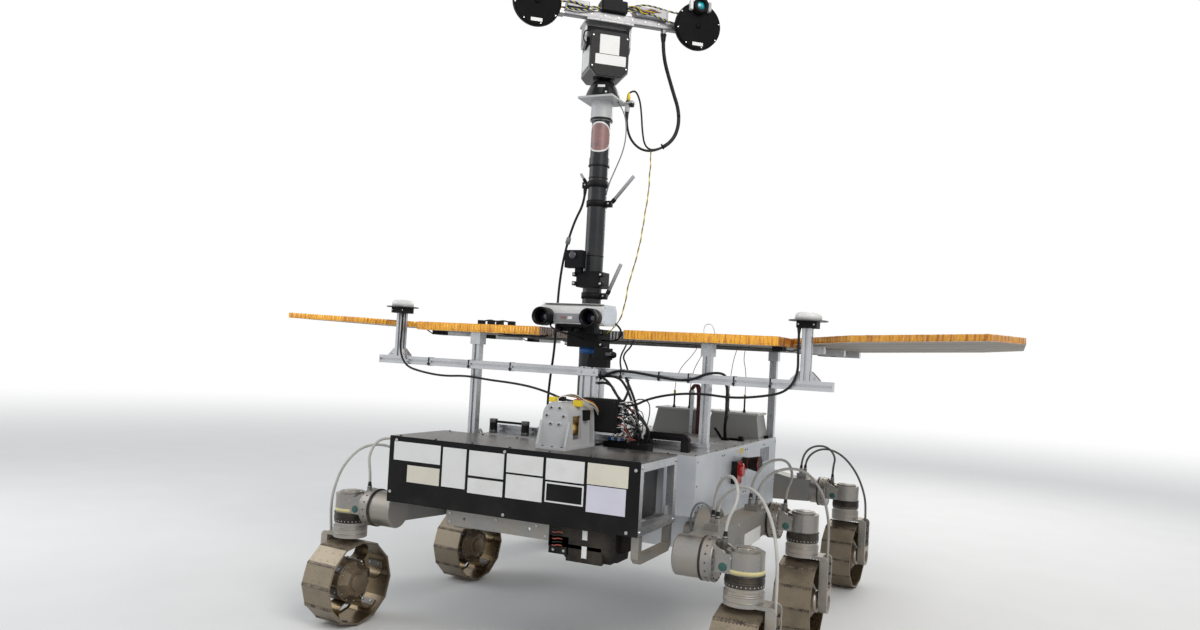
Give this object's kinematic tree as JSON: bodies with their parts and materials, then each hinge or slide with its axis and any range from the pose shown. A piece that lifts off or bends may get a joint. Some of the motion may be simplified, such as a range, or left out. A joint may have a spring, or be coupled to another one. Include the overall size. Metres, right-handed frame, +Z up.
{
  "type": "planetary rover test model",
  "caption": "Wheeled planetary rover with steered bogie wheels, a camera mast with a pan and tilt head, a front box and a fold-out solar array.",
  "frame": {"origin": "on the ground under the middle of the rover's outline", "axes": "+Z up, the front faces -Y, +X is the rover's left side"},
  "size_m": [2.8244, 1.989, 2.276],
  "materials": {
    "silver_sheet": "satin silver paint on sheet metal",
    "anodised_black": "matt black anodised",
    "bare_aluminium": "machined",
    "dark_aluminium": "dull grey plate",
    "bronze_rim": "pale bronze coating",
    "array_foil": "orange film wrapped round a light panel",
    "white_paint": "satin white",
    "red_plastic": "moulded",
    "grey_paint": "satin grey",
    "motor_gold": "dull",
    "cable_sheath": "black braided conduit and cable sheath"
  },
  "bodies": {
    "rover": {"actuator_bracket": "white_paint", "actuator_motor": "motor_gold", "antenna_units": "white_paint", "array_centre": "array_foil", "array_hinges": "bare_aluminium", "array_supports": "bare_aluminium", "array_wings": "array_foil", "beam_cables": "cable_sheath", "body_lid": "silver_sheet", "body_shell": "silver_sheet", "bogie_beam_left": "bare_aluminium", "bogie_beam_rear": "bare_aluminium", "bogie_beam_right": "bare_aluminium", "bogie_pivots": "dark_aluminium", "cable_terminals": "bare_aluminium", "carry_handles": "anodised_black", "chassis_tub": "silver_sheet", "cross_beam": "bare_aluminium", "drive_conduits": "cable_sheath", "drive_drums": "bare_aluminium", "emergency_buttons": "red_plastic", "front_box_core": "anodised_black", "front_box_frame": "bare_aluminium", "front_panel": "anodised_black", "front_top_plate": "dark_aluminium", "front_under_gear": "bare_aluminium", "head_cable": "cable_sheath", "mast_cable": "cable_sheath", "mast_clamps": "anodised_black", "mast_collar": "grey_paint", "mast_electronics": "anodised_black", "mast_post": "bare_aluminium", "mast_tube": "white_paint", "pan_pedestal": "anodised_black", "radio_boxes": "grey_paint", "steering_arms": "bare_aluminium", "steering_conduits": "cable_sheath", "steering_housings": "bare_aluminium", "steering_rings": "anodised_black", "stereo_camera": "white_paint", "stick_antennas": "anodised_black", "under_instrument": "anodised_black"},
    "steer_front_left": {"steering_leg_front_left": "bare_aluminium"},
    "drive_front_left": {"wheel_front_left": "bronze_rim"},
    "steer_front_right": {"steering_leg_front_right": "bare_aluminium"},
    "drive_front_right": {"wheel_front_right": "bronze_rim"},
    "steer_mid_left": {"steering_leg_mid_left": "bare_aluminium"},
    "drive_mid_left": {"wheel_mid_left": "bronze_rim"},
    "steer_mid_right": {"steering_leg_mid_right": "bare_aluminium"},
    "drive_mid_right": {"wheel_mid_right": "bronze_rim"},
    "steer_rear_left": {"steering_leg_rear_left": "bare_aluminium"},
    "drive_rear_left": {"wheel_rear_left": "bronze_rim"},
    "steer_rear_right": {"steering_leg_rear_right": "bare_aluminium"},
    "drive_rear_right": {"wheel_rear_right": "bronze_rim"},
    "pan_head": {"pan_housing": "white_paint"},
    "tilt_head": {"head_frame": "bare_aluminium", "filter_discs": "anodised_black", "head_cameras": "grey_paint"}
  },
  "joints": [
    {"name": "steer_front_left", "type": "hinge", "parent": "rover", "child": "steer_front_left", "pos_m": [0.712, -0.839, 0.356], "axis": [0, 0, 1], "range_deg": [-60, 60], "deforming": ["steering_conduits"]},
    {"name": "drive_front_left", "type": "hinge", "parent": "steer_front_left", "child": "drive_front_left", "pos_m": [0.712, -0.839, 0.148], "axis": [1, 0, 0], "continuous": true},
    {"name": "steer_front_right", "type": "hinge", "parent": "rover", "child": "steer_front_right", "pos_m": [-0.712, -0.839, 0.356], "axis": [0, 0, 1], "range_deg": [-60, 60], "deforming": ["steering_conduits"]},
    {"name": "drive_front_right", "type": "hinge", "parent": "steer_front_right", "child": "drive_front_right", "pos_m": [-0.712, -0.839, 0.148], "axis": [0.9932, -0.1167, 0], "continuous": true},
    {"name": "steer_mid_left", "type": "hinge", "parent": "rover", "child": "steer_mid_left", "pos_m": [0.712, -0.072, 0.356], "axis": [0, 0, 1], "range_deg": [-60, 60], "deforming": ["steering_conduits"]},
    {"name": "drive_mid_left", "type": "hinge", "parent": "steer_mid_left", "child": "drive_mid_left", "pos_m": [0.712, -0.072, 0.148], "axis": [1, 0, 0], "continuous": true},
    {"name": "steer_mid_right", "type": "hinge", "parent": "rover", "child": "steer_mid_right", "pos_m": [-0.712, -0.072, 0.356], "axis": [0, 0, 1], "range_deg": [-60, 60], "deforming": ["steering_conduits"]},
    {"name": "drive_mid_right", "type": "hinge", "parent": "steer_mid_right", "child": "drive_mid_right", "pos_m": [-0.712, -0.072, 0.148], "axis": [0.9893, -0.1461, 0], "continuous": true},
    {"name": "steer_rear_left", "type": "hinge", "parent": "rover", "child": "steer_rear_left", "pos_m": [0.712, 0.842, 0.356], "axis": [0, 0, 1], "range_deg": [-60, 60], "deforming": ["steering_conduits"]},
    {"name": "drive_rear_left", "type": "hinge", "parent": "steer_rear_left", "child": "drive_rear_left", "pos_m": [0.712, 0.842, 0.148], "axis": [0.996, -0.0889, 0], "continuous": true},
    {"name": "steer_rear_right", "type": "hinge", "parent": "rover", "child": "steer_rear_right", "pos_m": [-0.712, 0.842, 0.356], "axis": [0, 0, 1], "range_deg": [-60, 60], "deforming": ["steering_conduits"]},
    {"name": "drive_rear_right", "type": "hinge", "parent": "steer_rear_right", "child": "drive_rear_right", "pos_m": [-0.712, 0.842, 0.148], "axis": [1, 0, 0], "continuous": true},
    {"name": "head_pan", "type": "hinge", "parent": "rover", "child": "pan_head", "pos_m": [0, -0.465, 1.97], "axis": [0, 0, 1], "range_deg": [-120, 80], "deforming": ["head_cable"]},
    {"name": "head_tilt", "type": "hinge", "parent": "pan_head", "child": "tilt_head", "pos_m": [0, -0.465, 2.1], "axis": [0.766, 0.6428, 0], "range_deg": [-30, 30], "deforming": ["head_cable"]}
  ]
}
